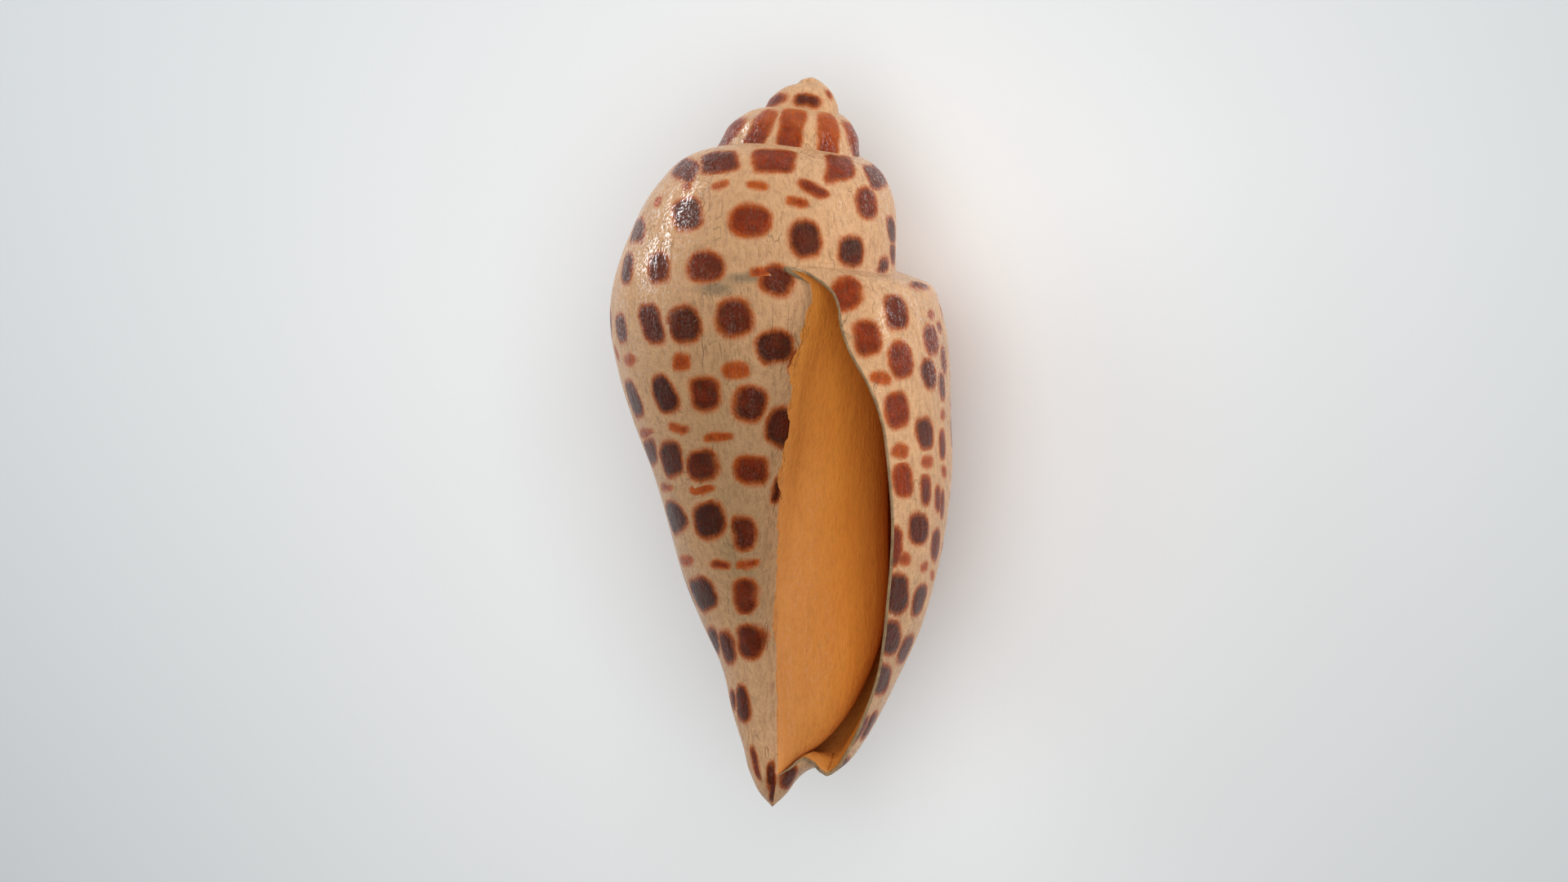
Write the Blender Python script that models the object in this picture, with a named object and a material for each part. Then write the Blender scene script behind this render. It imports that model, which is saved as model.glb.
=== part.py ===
"""A junonia shell: one spiral wall of limy shell, wound about a gently bowed axis from the apex to the
anterior tip, open along a long aperture that leads into the last whorl.

The surface is laid out on a spiral chart. Columns follow growth, in degrees back from the edge of the lip,
and rows run down the whorl from its suture to the tip. Each patch starts as a flat bmesh grid, is rolled
into place, and is welded to its neighbours, so the shell is one closed solid with a real wall. It lies on
its back with the aperture up, which is how it rests on a table.
"""

import bmesh
import bpy
import numpy as np
from mathutils import Matrix, Vector

MM = 0.001
TURN = 360.0

# Driving sizes, in millimetres and degrees. Growth is counted back from the lip: 0 at the lip, -360 one
# whorl before it. Depth is measured down the axis from the apex. Bearing 0 faces up, 90 is the lip's side.
AXIS_LENGTH = 100.5
APEX_X = 5.1
APEX_Y = 99.9
LEAN_AT_TIP = -3.0
LEAN_AT_SPIRE = 15.5
LEAN_CHANGE_DEPTH = 30.0
LEAN_CHANGE_LENGTH = 17.0
TIP_HOOK = 8.0
TIP_HOOK_DEPTH = 84.0
LIP_BEARING = 20.0
START_GROWTH = -1500.0
CAVITY_END = -540.0
COLUMN_STEP = 7.5
CANAL_GAP = 0.7
REST_ROLL = 20.0
REST_PITCH = -3.5
REST_HEIGHT = 26.77
REST_X = 0.536
REST_Y = 49.901

# Where the next whorl is, or would be, attached: growth, depth, radius and swing of the growth line.
SHOULDER_LINE = (
    (-1500, 0.0, 0.0, 0),
    (-1330, 1.6, 2.0, 0),
    (-1150, 3.8, 4.6, 0),
    (-970, 5.9, 5.4, 0),
    (-790, 8.9, 8.8, 0),
    (-610, 13.1, 10.6, 0),
    (-430, 24.7, 16.9, 0),
    (-360, 26.8, 18.0, -13),
    (-300, 30.5, 19.8, -4),
    (-250, 34.0, 21.3, 0),
    (-160, 41.0, 23.6, 0),
    (-70, 48.0, 25.7, 3),
    (0, 50.0, 26.5, 18),
)

# Thickness of the wall by growth, from the end of the cavity to the edge of the lip.
WALL_LINE = (
    (-600, 2.0),
    (-430, 2.0),
    (-360, 2.4),
    (-250, 3.2),
    (-160, 3.6),
    (-90, 2.0),
    (-40, 1.8),
    (-12, 1.2),
    (0, 0.5),
)

# How a whorl swells between its two attachment lines: shares of the depth and of the radius.
SWELL_LINES = {
    -1500: ((0, 0), (0.06, 0.20), (0.15, 0.38), (0.27, 0.54), (0.40, 0.68), (0.53, 0.78), (0.67, 0.86),
            (0.83, 0.94), (1, 1)),
    -610: ((0, 0), (0.06, 0.22), (0.15, 0.42), (0.27, 0.58), (0.40, 0.72), (0.53, 0.80), (0.67, 0.86),
           (0.83, 0.93), (1, 1)),
    -430: ((0, 0), (0.03, 0.22), (0.10, 0.45), (0.21, 0.62), (0.36, 0.77), (0.52, 0.865), (0.68, 0.925),
           (0.85, 0.965), (1, 1)),
    -250: ((0, 0), (0.05, 0.24), (0.13, 0.44), (0.25, 0.59), (0.40, 0.74), (0.55, 0.84), (0.70, 0.92),
           (0.86, 0.98), (1, 1)),
    -160: ((0, 0), (0.04, 0.32), (0.09, 0.53), (0.21, 0.68), (0.37, 0.81), (0.53, 0.90), (0.69, 0.96),
           (0.85, 0.99), (1, 1)),
    -70: ((0, 0), (0.016, 0.31), (0.042, 0.57), (0.10, 0.68), (0.20, 0.78), (0.36, 0.89), (0.55, 0.955),
          (0.77, 0.99), (1, 1)),
    -15: ((0, 0), (0.01, 0.24), (0.035, 0.45), (0.09, 0.60), (0.18, 0.74), (0.35, 0.87), (0.53, 0.94),
          (0.75, 0.985), (1, 1)),
    0: ((0, 0), (0.01, 0.08), (0.045, 0.19), (0.11, 0.35), (0.18, 0.49), (0.35, 0.67), (0.50, 0.80),
        (0.70, 0.92), (1, 1)),
}
SWELL_SWING = (0, 0.19, 0.37, 0.55, 0.60, 0.62, 0.69, 0.855, 1)

# The base of a whorl from its attachment line down to the tip: depth and radius. Before -360 this is the
# surface that the last whorl wraps round, seen only inside the aperture.
BASE_LINES = {
    -970: ((5.9, 5.4), (7.2, 5.0), (10, 4.2), (13.5, 3.4), (18, 2.8), (25, 2.4), (34, 2.2), (44, 2.0),
           (54, 1.8), (64, 1.6), (71.5, 1.5), (77.5, 1.4), (82, 1.3), (85, 1.2), (87, 1.0), (98.4, 0.8),
           (100.5, 0)),
    -790: ((8.9, 8.8), (10.5, 8.3), (14, 7.0), (18, 5.4), (23, 4.2), (30, 3.3), (38.5, 2.8), (48, 2.5),
           (58, 2.2), (67.5, 1.9), (74.5, 1.8), (80, 1.6), (84, 1.5), (86.5, 1.4), (88.5, 1.2), (98.4, 0.9),
           (100.5, 0)),
    -705: ((10.6, 9.7), (12.4, 9.5), (16, 8.3), (20.5, 6.6), (26, 5.1), (33, 4.1), (41.5, 3.4), (51, 2.9),
           (60.5, 2.5), (69.5, 2.2), (76, 2.0), (81, 1.8), (85, 1.6), (87.5, 1.5), (89.5, 1.3), (98.4, 1.0),
           (100.5, 0)),
    -610: ((12.6, 11.0), (14.6, 11.1), (19, 10.2), (24, 8.4), (29.5, 6.5), (36.5, 5.0), (44.5, 4.0),
           (53.5, 3.3), (62.5, 2.9), (71, 2.6), (77.5, 2.3), (82.5, 2.1), (86.4, 1.9), (89, 1.7), (91, 1.5),
           (98.4, 1.0), (100.5, 0)),
    -520: ((18.5, 14.0), (20.6, 14.0), (25, 13.6), (30, 12.9), (35.5, 12.0), (42, 10.9), (49, 9.8),
           (56.5, 8.8), (64.5, 7.7), (73, 6.0), (79.5, 4.8), (84.5, 3.8), (88, 3.0), (90.6, 2.2), (92.5, 1.8),
           (98.4, 1.2), (100.5, 0)),
    -430: ((24.7, 16.9), (26.6, 16.8), (31, 17.4), (36.5, 17.8), (42.5, 17.9), (49, 17.4), (56, 17.0),
           (63.5, 16.8), (71.5, 16.4), (79, 15.0), (84.5, 12.4), (88, 10.0), (90.5, 7.6), (92.4, 4.9),
           (93.8, 2.1), (98.4, 1.5), (100.5, 0)),
    -400: ((25.6, 17.2), (27.6, 16.9), (32.6, 16.9), (39, 16.6), (45.5, 15.6), (52.5, 14.1), (60, 12.9),
           (68, 11.2), (76, 9.4), (84, 7.8), (88.5, 6.6), (91.2, 5.5), (93, 4.5), (94.1, 3.5), (94.8, 2.4),
           (98.4, 1.8), (100.5, 0)),
    -374: ((26.4, 17.7), (28.5, 17.2), (33.8, 16.8), (40.8, 15.4), (47.8, 13.6), (55, 11.5), (62.2, 9.9),
           (69.6, 8.0), (77.4, 6.6), (85.2, 5.5), (89.5, 4.9), (92, 4.5), (93.6, 4.2), (94.9, 3.8),
           (95.8, 3.3), (98.4, 2.0), (100.5, 0)),
    -360: ((26.8, 18.0), (28.9, 18.3), (34.2, 18.0), (41.5, 16.6), (48.9, 14.6), (56.3, 12.0), (63.6, 9.6),
           (71.0, 7.4), (78.4, 5.9), (85.8, 4.9), (90.0, 4.5), (92.5, 4.3), (94.0, 4.2), (95.2, 4.1),
           (96.2, 4.0), (98.4, 2.2), (100.5, 0)),
    -328: ((28.8, 19.0), (30.9, 19.2), (36.0, 18.9), (43.0, 17.4), (50.0, 15.4), (57.0, 13.2), (64.3, 10.9),
           (71.5, 8.6), (78.8, 6.9), (86.0, 5.7), (90.0, 5.1), (92.5, 4.8), (94.0, 4.5), (95.2, 4.3),
           (96.3, 4.0), (98.4, 2.4), (100.5, 0)),
    -305: ((30.2, 19.7), (32.4, 19.8), (37.4, 19.3), (44.2, 17.7), (51.2, 15.5), (58.2, 13.3), (65.2, 10.9),
           (72.2, 8.2), (79.2, 6.3), (86.3, 5.2), (90.0, 4.7), (92.4, 4.4), (94.0, 4.2), (95.2, 3.9),
           (96.3, 3.6), (98.4, 2.3), (100.5, 0)),
    -250: ((34.0, 21.3), (36.0, 21.1), (41.0, 19.8), (47.3, 17.7), (53.9, 15.3), (60.6, 13.5), (67.2, 11.8),
           (73.9, 9.4), (80.5, 6.8), (87.2, 5.8), (90.2, 5.0), (92.3, 4.4), (94.0, 4.0), (95.2, 3.7),
           (96.3, 3.2), (98.4, 2.1), (100.5, 0)),
    -160: ((41.0, 23.6), (43.0, 23.5), (48.0, 23.0), (54.0, 21.7), (60.0, 20.0), (66.0, 18.0), (72.0, 15.8),
           (78.0, 13.4), (84.0, 10.7), (88.5, 8.4), (91.0, 6.8), (92.8, 5.7), (94.2, 4.9), (95.4, 4.2),
           (96.3, 3.6), (98.4, 2.0), (100.5, 0)),
    -70: ((48.0, 25.7), (50.0, 25.7), (55.0, 25.5), (60.4, 24.8), (66.0, 23.7), (71.5, 22.1), (77.0, 20.1),
          (82.0, 17.7), (87.0, 14.8), (91.0, 12.1), (93.3, 10.1), (94.4, 8.0), (94.8, 6.2), (95.2, 4.7),
          (96.3, 3.3), (98.4, 1.9), (100.5, 0)),
    0: ((50.0, 26.5), (52.0, 26.5), (57.0, 26.2), (62.0, 25.6), (67.5, 24.5), (73.0, 22.6), (78.0, 20.4),
        (83.0, 17.7), (88.0, 14.5), (92.3, 11.6), (94.8, 9.8), (95.6, 8.4), (93.7, 5.5), (95.0, 4.6),
        (96.2, 4.0), (98.4, 2.2), (100.5, 0)),
}

# How far the growth line swings round from its bearing, down the base: at the fold and at the lip.
SWING_LINES = {
    -430: (0,) * 17,
    -360: (-13, -2, 0, -4, -6, -8, -10, -12, -14, -15, -15, -15, -15, -15, -15, -15, -15),
    -300: (-4, -3, -2, -2, -2, -3, -3, -4, -4, -4, -4, -4, -4, -3, -3, -3, -3),
    -250: (0,) * 17,
    -70: (3, 3, 4, 4, 4, 4, 4, 4, 5, 5, 5, 5, 4, 2, 0, 0, 0),
    0: (18, 18.5, 20, 21.5, 22.5, 24.5, 28, 33, 37, 40, 39, 36, 26, 6, -15, -15, -15),
}

SHOULDER_ROW = 8
SEAM_ROW = 9  # where the inner face of the wall meets the whorl before it
FOOT_ROW = 22  # where the rim of the aperture meets the columella
TIP_ROW = 24


def through(keys, values, x):
    """A smooth curve through the values at the keys, read at x: a cubic Hermite with limited slopes."""
    keys = np.asarray(keys, float)
    values = np.asarray(values, float)
    x = np.clip(np.asarray(x, float), keys[0], keys[-1])
    spans = np.diff(keys).reshape((-1,) + (1,) * (values.ndim - 1))
    chords = np.diff(values, axis=0) / spans
    before, after = chords[:-1], chords[1:]
    mean = (before * spans[1:] + after * spans[:-1]) / (spans[1:] + spans[:-1])
    limit = 3 * np.minimum(abs(before), abs(after))
    inner = np.where(before * after > 0, np.clip(mean, -limit, limit), 0.0)
    slopes = np.concatenate([chords[:1], inner, chords[-1:]])
    at = np.clip(np.searchsorted(keys, x, side="right") - 1, 0, len(keys) - 2)
    shape = x.shape + (1,) * (values.ndim - 1)
    span = (keys[at + 1] - keys[at]).reshape(shape)
    s = ((x - keys[at]) / (keys[at + 1] - keys[at])).reshape(shape)
    return (
        (2 * s**3 - 3 * s**2 + 1) * values[at]
        + (s**3 - 2 * s**2 + s) * span * slopes[at]
        + (3 * s**2 - 2 * s**3) * values[at + 1]
        + (s**3 - s**2) * span * slopes[at + 1]
    )


def axis_line():
    """Depths down the bowed axis, with its lean, x and y at each."""
    depths = np.linspace(-5.0, AXIS_LENGTH + 5.0, 1200)
    share = 0.5 * (1 - np.tanh((depths - LEAN_CHANGE_DEPTH) / LEAN_CHANGE_LENGTH))
    hook = np.clip((depths - TIP_HOOK_DEPTH) / (AXIS_LENGTH - TIP_HOOK_DEPTH), 0, 1)
    lean = np.radians(LEAN_AT_TIP + (LEAN_AT_SPIRE - LEAN_AT_TIP) * share + TIP_HOOK * hook)
    step = depths[1] - depths[0]
    x = -np.cumsum(np.sin(lean)) * step
    y = -np.cumsum(np.cos(lean)) * step
    x += APEX_X - np.interp(0, depths, x)
    y += APEX_Y - np.interp(0, depths, y)
    return depths, lean, x, y


def place(depth, radius, bearing):
    """Points at a depth and radius from the bowed axis, at a bearing round it, in millimetres."""
    depths, lean, x, y = axis_line()
    angle = np.interp(depth, depths, lean)
    across = radius * np.sin(np.radians(bearing))
    return np.stack(
        [
            np.interp(depth, depths, x) + across * np.cos(angle),
            np.interp(depth, depths, y) - across * np.sin(angle),
            radius * np.cos(np.radians(bearing)),
        ],
        axis=-1,
    )


def sections(growths):
    """Depth, radius and swing down every growth line: an array of growths by rows by three."""
    line = np.array(SHOULDER_LINE, float)
    low = through(line[:, 0], line[:, 1:], growths)[:, None]
    high = through(line[:, 0], line[:, 1:], growths - TURN)[:, None]
    swell = through(list(SWELL_LINES), list(SWELL_LINES.values()), growths)
    swell = np.concatenate([swell, np.tile(np.array(SWELL_SWING)[None, :, None], (len(growths), 1, 1))], 2)
    upper = high + (low - high) * swell
    base = through(list(BASE_LINES), list(BASE_LINES.values()), growths)
    swing = through(list(SWING_LINES), list(SWING_LINES.values()), growths)
    lower = np.concatenate([base, swing[..., None]], 2)
    lower[:, 0] = low[:, 0]
    return np.concatenate([upper, lower[:, 1:]], 1)


def bearings(growths, swing):
    return LIP_BEARING - growths[:, None] + swing


def outer_face(growths):
    part = sections(growths)
    return place(part[..., 0], part[..., 1], bearings(growths, part[..., 2]))


def inner_face(growths):
    """The wall's inner face: the outer one moved in by the wall, joined to the whorl it wraps round."""
    part = sections(growths)
    core = sections(growths - TURN)[:, SEAM_ROW : FOOT_ROW + 1]
    run = np.gradient(part[..., :2], axis=1)
    run /= np.linalg.norm(run, axis=2, keepdims=True)
    table = np.array(WALL_LINE)
    wall = through(table[:, 0], table[:, 1], growths)[:, None]
    above_foot = FOOT_ROW - np.arange(TIP_ROW + 1)
    depth = np.minimum(part[..., 0] + wall * run[..., 1], core[:, -1:, 0] - 0.3 * above_foot)
    radius = part[..., 1] - wall * run[..., 0]
    for column in range(len(growths)):
        least = np.interp(depth[column], core[column, :, 0], core[column, :, 1])
        radius[column] = np.maximum(radius[column], least + CANAL_GAP * np.clip(above_foot / 3, 0, 1))
    points = place(depth, radius, bearings(growths, part[..., 2]))[:, : FOOT_ROW + 1]
    wrapped = outer_face(growths - TURN)
    points[:, 0] = wrapped[:, SEAM_ROW]
    points[:, -1] = wrapped[:, FOOT_ROW]
    return points


def columns(first, last):
    return np.linspace(first, last, round((last - first) / COLUMN_STEP) + 1)


def add_patch(bm, points):
    """A bmesh grid with its vertices moved to the points, which are growths by rows."""
    across, down = points.shape[0] - 1, points.shape[1] - 1
    grid = bmesh.ops.create_grid(bm, x_segments=across, y_segments=down, size=0.5)
    for vert in grid["verts"]:
        column = round((vert.co.x + 0.5) * across)
        row = round((vert.co.y + 0.5) * down)
        vert.co = Vector(points[column, row]) * MM
    return grid["verts"]


def spire(bm):
    """The whorls between their attachment lines, from the apex to the lip."""
    points = outer_face(columns(START_GROWTH, 0))
    add_patch(bm, points[:, : SHOULDER_ROW + 1])


def last_base(bm):
    """The base of the last whorl, from its shoulder to the tip."""
    points = outer_face(columns(-TURN, 0))
    add_patch(bm, points[:, SHOULDER_ROW:])


def aperture_floor(bm):
    """The surface the last whorl wraps round, from the rim of the aperture to the end of the cavity."""
    points = outer_face(columns(CAVITY_END - TURN, -TURN))
    add_patch(bm, points[:, SEAM_ROW : FOOT_ROW + 1])


def aperture_wall(bm):
    """The inner face of the last whorl's wall, and the edge of the lip that joins it to the outer face."""
    growths = columns(CAVITY_END, 0)
    points = inner_face(growths)
    add_patch(bm, points)
    edge = outer_face(growths[-1:])[0, : FOOT_ROW + 1]
    add_patch(bm, np.stack([points[-1], edge]))


def lay_down(bm):
    """Turn the shell to where it balances on its back, worn flat where it touches, over the origin."""
    roll = Matrix.Rotation(np.radians(REST_ROLL), 3, "Y")
    pitch = Matrix.Rotation(np.radians(REST_PITCH), 3, "X")
    bmesh.ops.rotate(bm, matrix=pitch @ roll, verts=bm.verts)
    bmesh.ops.translate(bm, vec=Vector((-REST_X, -REST_Y, REST_HEIGHT)) * MM, verts=bm.verts)
    for vert in bm.verts:
        vert.co.z = max(vert.co.z, 0.0)


def shell_mesh():
    bm = bmesh.new()
    spire(bm)
    last_base(bm)
    aperture_floor(bm)
    aperture_wall(bm)
    bmesh.ops.remove_doubles(bm, verts=bm.verts, dist=0.004 * MM)
    bmesh.ops.dissolve_degenerate(bm, edges=bm.edges, dist=0.004 * MM)
    open_edges = [edge for edge in bm.edges if edge.is_boundary]
    bmesh.ops.holes_fill(bm, edges=open_edges, sides=0)
    bmesh.ops.triangulate(bm, faces=bm.faces)
    lay_down(bm)
    bmesh.ops.recalc_face_normals(bm, faces=bm.faces)
    return bm


def shell_material():
    material = bpy.data.materials.new("shell_wall")
    material.use_nodes = True
    shader = material.node_tree.nodes["Principled BSDF"]
    shader.inputs["Base Color"].default_value = (0.55, 0.33, 0.18, 1)
    shader.inputs["Roughness"].default_value = 0.35
    return material


def main():
    for item in list(bpy.data.objects):
        bpy.data.objects.remove(item, do_unlink=True)
    collection = bpy.data.collections.new("junonia_shell")
    bpy.context.scene.collection.children.link(collection)
    bm = shell_mesh()
    mesh = bpy.data.meshes.new("shell")
    bm.to_mesh(mesh)
    bm.free()
    mesh.shade_smooth()
    mesh.materials.append(shell_material())
    collection.objects.link(bpy.data.objects.new("shell", mesh))


main()
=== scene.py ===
"""Junonia shell: the finish and the fine form of one spiral sea shell, lying on its back on a pale table."""

import bmesh
import bpy
import numpy as np
from mathutils import Matrix, Vector


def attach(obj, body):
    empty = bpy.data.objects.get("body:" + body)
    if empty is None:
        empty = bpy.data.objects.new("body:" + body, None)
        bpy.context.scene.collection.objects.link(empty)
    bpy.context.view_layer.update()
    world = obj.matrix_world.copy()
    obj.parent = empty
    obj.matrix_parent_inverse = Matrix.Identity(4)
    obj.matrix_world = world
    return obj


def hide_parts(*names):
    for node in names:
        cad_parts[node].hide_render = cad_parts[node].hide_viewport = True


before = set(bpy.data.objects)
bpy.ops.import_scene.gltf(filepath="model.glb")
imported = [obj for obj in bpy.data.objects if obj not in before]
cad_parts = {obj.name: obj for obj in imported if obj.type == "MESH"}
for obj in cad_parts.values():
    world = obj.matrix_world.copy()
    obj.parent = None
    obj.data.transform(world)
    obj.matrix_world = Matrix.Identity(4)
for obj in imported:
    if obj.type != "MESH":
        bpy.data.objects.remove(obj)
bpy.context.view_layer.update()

# --- The shell -------------------------------------------------------------------------------------------
# The real shell is one piece of limy layers that the animal laid down along the lip as it grew, turn after
# turn round a slightly bowed axis. The outer layer is cream tan with rows of red-brown spots, and the inner
# layer is a smooth glazed orange. Sizes are in millimetres; growth is in degrees back from the lip.

MM = 0.001
TURN = 360.0
AXIS_LENGTH = 100.5
APEX_X = 5.1
APEX_Y = 99.9
LEAN_AT_TIP = -3.0
LEAN_AT_SPIRE = 15.5
LEAN_CHANGE_DEPTH = 30.0
LEAN_CHANGE_LENGTH = 17.0
TIP_HOOK = 8.0
TIP_HOOK_DEPTH = 84.0
LIP_BEARING = 20.0
START_GROWTH = -1500.0
CAVITY_END = -540.0
CANAL_GAP = 0.7
REST_ROLL = 20.0
REST_PITCH = -3.5
REST_AT = (-0.536, -49.901, 26.77)

# Where the next whorl is, or would be, attached: growth, depth, radius and swing of the growth line.
SHOULDER_LINE = (
    (-1500, 0.0, 0.0, 0),
    (-1330, 1.6, 2.0, 0),
    (-1150, 3.8, 4.6, 0),
    (-970, 5.9, 5.4, 0),
    (-790, 8.9, 8.8, 0),
    (-610, 13.1, 10.6, 0),
    (-430, 24.7, 16.9, 0),
    (-360, 26.8, 18.0, -13),
    (-300, 30.5, 19.8, -4),
    (-250, 34.0, 21.3, 0),
    (-160, 41.0, 23.6, 0),
    (-70, 48.0, 25.7, 3),
    (0, 50.0, 26.5, 18),
)

# Thickness of the wall by growth, from the end of the cavity to the edge of the lip.
WALL_LINE = (
    (-600, 2.0),
    (-430, 2.0),
    (-360, 2.4),
    (-250, 3.2),
    (-160, 3.6),
    (-90, 2.0),
    (-40, 1.8),
    (-12, 1.2),
    (0, 0.5),
)

# How a whorl swells between its two attachment lines: shares of the depth and of the radius.
SWELL_LINES = {
    -1500: ((0, 0), (0.06, 0.20), (0.15, 0.38), (0.27, 0.54), (0.40, 0.68), (0.53, 0.78), (0.67, 0.86),
            (0.83, 0.94), (1, 1)),
    -610: ((0, 0), (0.06, 0.22), (0.15, 0.42), (0.27, 0.58), (0.40, 0.72), (0.53, 0.80), (0.67, 0.86),
           (0.83, 0.93), (1, 1)),
    -430: ((0, 0), (0.03, 0.22), (0.10, 0.45), (0.21, 0.62), (0.36, 0.77), (0.52, 0.865), (0.68, 0.925),
           (0.85, 0.965), (1, 1)),
    -250: ((0, 0), (0.05, 0.24), (0.13, 0.44), (0.25, 0.59), (0.40, 0.74), (0.55, 0.84), (0.70, 0.92),
           (0.86, 0.98), (1, 1)),
    -160: ((0, 0), (0.04, 0.32), (0.09, 0.53), (0.21, 0.68), (0.37, 0.81), (0.53, 0.90), (0.69, 0.96),
           (0.85, 0.99), (1, 1)),
    -70: ((0, 0), (0.016, 0.31), (0.042, 0.57), (0.10, 0.68), (0.20, 0.78), (0.36, 0.89), (0.55, 0.955),
          (0.77, 0.99), (1, 1)),
    -15: ((0, 0), (0.01, 0.24), (0.035, 0.45), (0.09, 0.60), (0.18, 0.74), (0.35, 0.87), (0.53, 0.94),
          (0.75, 0.985), (1, 1)),
    0: ((0, 0), (0.01, 0.08), (0.045, 0.19), (0.11, 0.35), (0.18, 0.49), (0.35, 0.67), (0.50, 0.80),
        (0.70, 0.92), (1, 1)),
}
SWELL_SWING = (0, 0.19, 0.37, 0.55, 0.60, 0.62, 0.69, 0.855, 1)

# The base of a whorl from its attachment line down to the tip: depth and radius. Before -360 this is the
# surface that the last whorl wraps round, seen only inside the aperture.
BASE_LINES = {
    -970: ((5.9, 5.4), (7.2, 5.0), (10, 4.2), (13.5, 3.4), (18, 2.8), (25, 2.4), (34, 2.2), (44, 2.0),
           (54, 1.8), (64, 1.6), (71.5, 1.5), (77.5, 1.4), (82, 1.3), (85, 1.2), (87, 1.0), (98.4, 0.8),
           (100.5, 0)),
    -790: ((8.9, 8.8), (10.5, 8.3), (14, 7.0), (18, 5.4), (23, 4.2), (30, 3.3), (38.5, 2.8), (48, 2.5),
           (58, 2.2), (67.5, 1.9), (74.5, 1.8), (80, 1.6), (84, 1.5), (86.5, 1.4), (88.5, 1.2), (98.4, 0.9),
           (100.5, 0)),
    -705: ((10.6, 9.7), (12.4, 9.5), (16, 8.3), (20.5, 6.6), (26, 5.1), (33, 4.1), (41.5, 3.4), (51, 2.9),
           (60.5, 2.5), (69.5, 2.2), (76, 2.0), (81, 1.8), (85, 1.6), (87.5, 1.5), (89.5, 1.3), (98.4, 1.0),
           (100.5, 0)),
    -610: ((12.6, 11.0), (14.6, 11.1), (19, 10.2), (24, 8.4), (29.5, 6.5), (36.5, 5.0), (44.5, 4.0),
           (53.5, 3.3), (62.5, 2.9), (71, 2.6), (77.5, 2.3), (82.5, 2.1), (86.4, 1.9), (89, 1.7), (91, 1.5),
           (98.4, 1.0), (100.5, 0)),
    -520: ((18.5, 14.0), (20.6, 14.0), (25, 13.6), (30, 12.9), (35.5, 12.0), (42, 10.9), (49, 9.8),
           (56.5, 8.8), (64.5, 7.7), (73, 6.0), (79.5, 4.8), (84.5, 3.8), (88, 3.0), (90.6, 2.2), (92.5, 1.8),
           (98.4, 1.2), (100.5, 0)),
    -430: ((24.7, 16.9), (26.6, 16.8), (31, 17.4), (36.5, 17.8), (42.5, 17.9), (49, 17.4), (56, 17.0),
           (63.5, 16.8), (71.5, 16.4), (79, 15.0), (84.5, 12.4), (88, 10.0), (90.5, 7.6), (92.4, 4.9),
           (93.8, 2.1), (98.4, 1.5), (100.5, 0)),
    -400: ((25.6, 17.2), (27.6, 16.9), (32.6, 16.9), (39, 16.6), (45.5, 15.6), (52.5, 14.1), (60, 12.9),
           (68, 11.2), (76, 9.4), (84, 7.8), (88.5, 6.6), (91.2, 5.5), (93, 4.5), (94.1, 3.5), (94.8, 2.4),
           (98.4, 1.8), (100.5, 0)),
    -374: ((26.4, 17.7), (28.5, 17.2), (33.8, 16.8), (40.8, 15.4), (47.8, 13.6), (55, 11.5), (62.2, 9.9),
           (69.6, 8.0), (77.4, 6.6), (85.2, 5.5), (89.5, 4.9), (92, 4.5), (93.6, 4.2), (94.9, 3.8),
           (95.8, 3.3), (98.4, 2.0), (100.5, 0)),
    -360: ((26.8, 18.0), (28.9, 18.3), (34.2, 18.0), (41.5, 16.6), (48.9, 14.6), (56.3, 12.0), (63.6, 9.6),
           (71.0, 7.4), (78.4, 5.9), (85.8, 4.9), (90.0, 4.5), (92.5, 4.3), (94.0, 4.2), (95.2, 4.1),
           (96.2, 4.0), (98.4, 2.2), (100.5, 0)),
    -328: ((28.8, 19.0), (30.9, 19.2), (36.0, 18.9), (43.0, 17.4), (50.0, 15.4), (57.0, 13.2), (64.3, 10.9),
           (71.5, 8.6), (78.8, 6.9), (86.0, 5.7), (90.0, 5.1), (92.5, 4.8), (94.0, 4.5), (95.2, 4.3),
           (96.3, 4.0), (98.4, 2.4), (100.5, 0)),
    -305: ((30.2, 19.7), (32.4, 19.8), (37.4, 19.3), (44.2, 17.7), (51.2, 15.5), (58.2, 13.3), (65.2, 10.9),
           (72.2, 8.2), (79.2, 6.3), (86.3, 5.2), (90.0, 4.7), (92.4, 4.4), (94.0, 4.2), (95.2, 3.9),
           (96.3, 3.6), (98.4, 2.3), (100.5, 0)),
    -250: ((34.0, 21.3), (36.0, 21.1), (41.0, 19.8), (47.3, 17.7), (53.9, 15.3), (60.6, 13.5), (67.2, 11.8),
           (73.9, 9.4), (80.5, 6.8), (87.2, 5.8), (90.2, 5.0), (92.3, 4.4), (94.0, 4.0), (95.2, 3.7),
           (96.3, 3.2), (98.4, 2.1), (100.5, 0)),
    -160: ((41.0, 23.6), (43.0, 23.5), (48.0, 23.0), (54.0, 21.7), (60.0, 20.0), (66.0, 18.0), (72.0, 15.8),
           (78.0, 13.4), (84.0, 10.7), (88.5, 8.4), (91.0, 6.8), (92.8, 5.7), (94.2, 4.9), (95.4, 4.2),
           (96.3, 3.6), (98.4, 2.0), (100.5, 0)),
    -70: ((48.0, 25.7), (50.0, 25.7), (55.0, 25.5), (60.4, 24.8), (66.0, 23.7), (71.5, 22.1), (77.0, 20.1),
          (82.0, 17.7), (87.0, 14.8), (91.0, 12.1), (93.3, 10.1), (94.4, 8.0), (94.8, 6.2), (95.2, 4.7),
          (96.3, 3.3), (98.4, 1.9), (100.5, 0)),
    0: ((50.0, 26.5), (52.0, 26.5), (57.0, 26.2), (62.0, 25.6), (67.5, 24.5), (73.0, 22.6), (78.0, 20.4),
        (83.0, 17.7), (88.0, 14.5), (92.3, 11.6), (94.8, 9.8), (95.6, 8.4), (93.7, 5.5), (95.0, 4.6),
        (96.2, 4.0), (98.4, 2.2), (100.5, 0)),
}

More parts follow.
